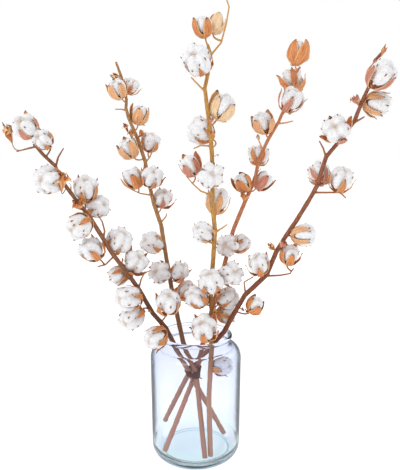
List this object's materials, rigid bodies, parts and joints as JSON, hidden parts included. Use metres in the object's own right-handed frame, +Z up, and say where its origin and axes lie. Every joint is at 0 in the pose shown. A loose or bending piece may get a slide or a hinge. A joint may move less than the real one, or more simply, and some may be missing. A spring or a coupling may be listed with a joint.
{
  "type": "cotton stem bunch in a glass vase",
  "caption": "Bunch of dry cotton stems with open white bolls in orange-brown burrs, fanning out of a clear glass jar vase.",
  "frame": {"origin": "middle of the vase's flat underside", "axes": "+Z is up, -Y is the front that the bunch is seen from, +X is to the right"},
  "size_m": [0.5237, 0.2728, 0.7184],
  "materials": {
    "glass": "clear glass with a faint blue-green tint, smooth and glossy, darker where it is thick at the lip and the floor",
    "twine": "dark brown twisted twine, matt and slightly hairy",
    "bark_a": "thin dry bark, dark purplish brown, with fine lengthwise ridges and pale specks",
    "bark_b": "thin dry bark, ochre at the top and dark brown at the foot, with fine lengthwise ridges",
    "bark_c": "thin dry bark, ochre to olive brown, darker at the foot, with fine lengthwise ridges",
    "bark_d": "thin dry bark, reddish brown at the top and dark brown at the foot",
    "bark_e": "thin dry bark, dark reddish brown, with fine lengthwise ridges",
    "boll": "fluffy white cotton fibre in soft locks, between woody orange-tan segments with dark pointed tips"
  },
  "bodies": {
    "root": {"boll_a_01": "boll", "boll_a_02": "boll", "boll_a_03": "boll", "boll_a_04": "boll", "boll_a_05": "boll", "boll_a_06": "boll", "boll_a_07": "boll", "boll_a_08": "boll", "boll_a_09": "boll", "boll_a_10": "boll", "boll_a_11": "boll", "boll_a_12": "boll", "boll_a_13": "boll", "boll_b_01": "boll", "boll_b_02": "boll", "boll_b_03": "boll", "boll_b_04": "boll", "boll_b_05": "boll", "boll_b_06": "boll", "boll_b_07": "boll", "boll_b_08": "boll", "boll_b_09": "boll", "boll_b_10": "boll", "boll_c_01": "boll", "boll_c_02": "boll", "boll_c_03": "boll", "boll_c_04": "boll", "boll_c_05": "boll", "boll_c_06": "boll", "boll_c_07": "boll", "boll_c_08": "boll", "boll_c_09": "boll", "boll_c_10": "boll", "boll_c_11": "boll", "boll_c_12": "boll", "boll_c_13": "boll", "boll_d_01": "boll", "boll_d_02": "boll", "boll_d_03": "boll", "boll_d_04": "boll", "boll_d_05": "boll", "boll_d_06": "boll", "boll_d_07": "boll", "boll_d_08": "boll", "boll_e_01": "boll", "boll_e_02": "boll", "boll_e_03": "boll", "boll_e_04": "boll", "boll_e_05": "boll", "boll_e_06": "boll", "boll_e_07": "boll", "boll_e_08": "boll", "boll_e_09": "boll", "glass_vase": "glass", "stem_a": "bark_a", "stem_b": "bark_b", "stem_c": "bark_c", "stem_d": "bark_d", "stem_e": "bark_e", "stem_tie": "twine"}
  },
  "joints": []
}
